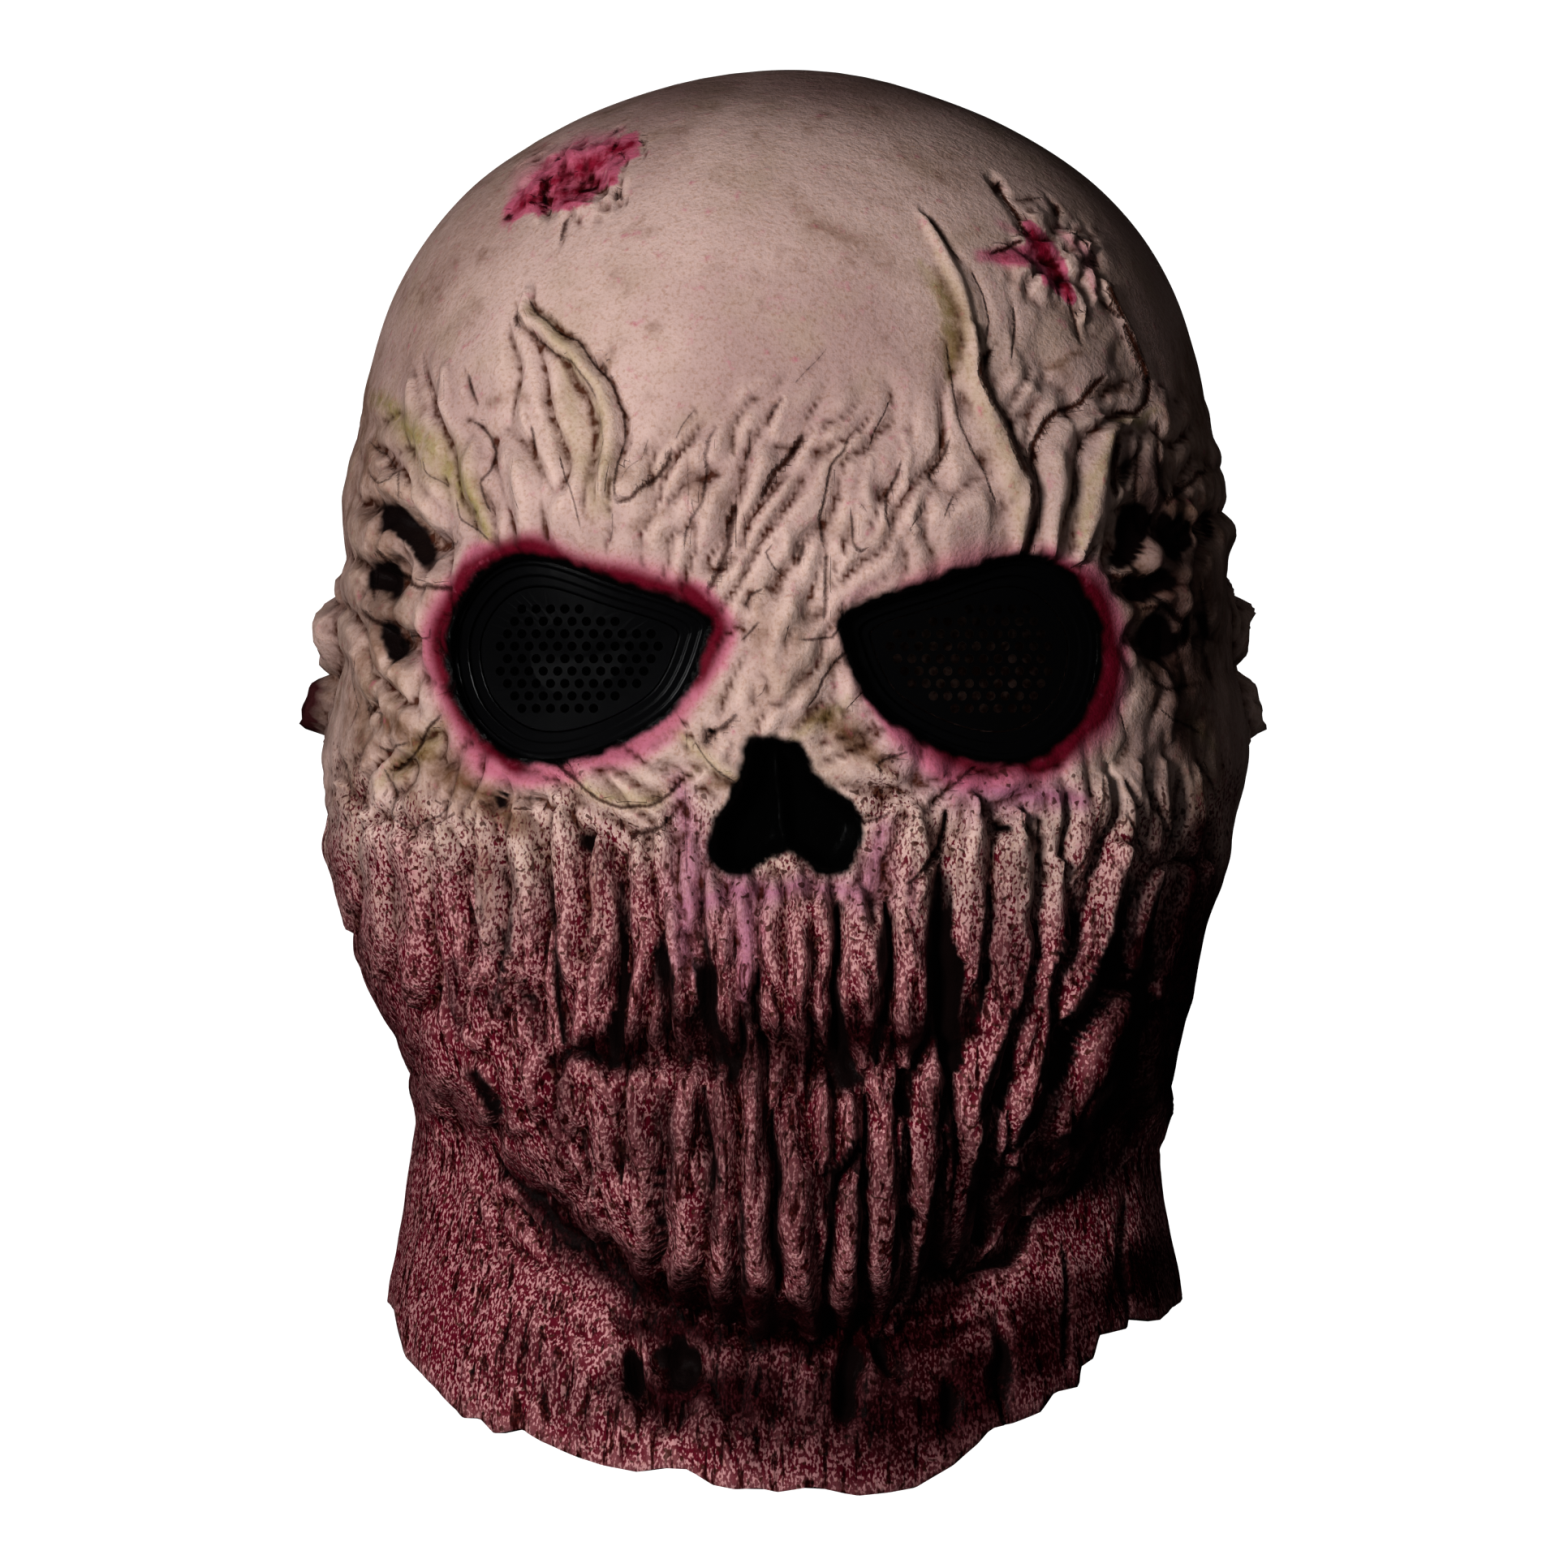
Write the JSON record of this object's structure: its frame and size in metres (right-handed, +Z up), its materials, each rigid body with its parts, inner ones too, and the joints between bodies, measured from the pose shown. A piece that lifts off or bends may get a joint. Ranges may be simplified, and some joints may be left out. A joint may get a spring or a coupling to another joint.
{
  "type": "latex monster mask",
  "caption": "Full-head overhead latex mask with a skull-like face, sewn-looking strands over the mouth, ragged neck bib and black mesh eyes.",
  "frame": {"origin": "inside of the crown on the mask's upright axis, where the top of a head carries it", "axes": "the face looks along -Y, +Z up from neck to crown, +X towards the wearer's left, which is the viewer's right"},
  "size_m": [0.2105, 0.2306, 0.3062],
  "materials": {
    "latex": "painted matte latex, flesh pink over the skull, dark red speckle over the jaw and neck",
    "rim_plastic": "glossy black moulded plastic",
    "lens_mesh": "black perforated plastic"
  },
  "bodies": {
    "root": {"mask_shell": "latex", "eye_rim_right": "rim_plastic", "eye_rim_left": "rim_plastic", "eye_mesh_right": "lens_mesh", "eye_mesh_left": "lens_mesh"}
  },
  "joints": []
}
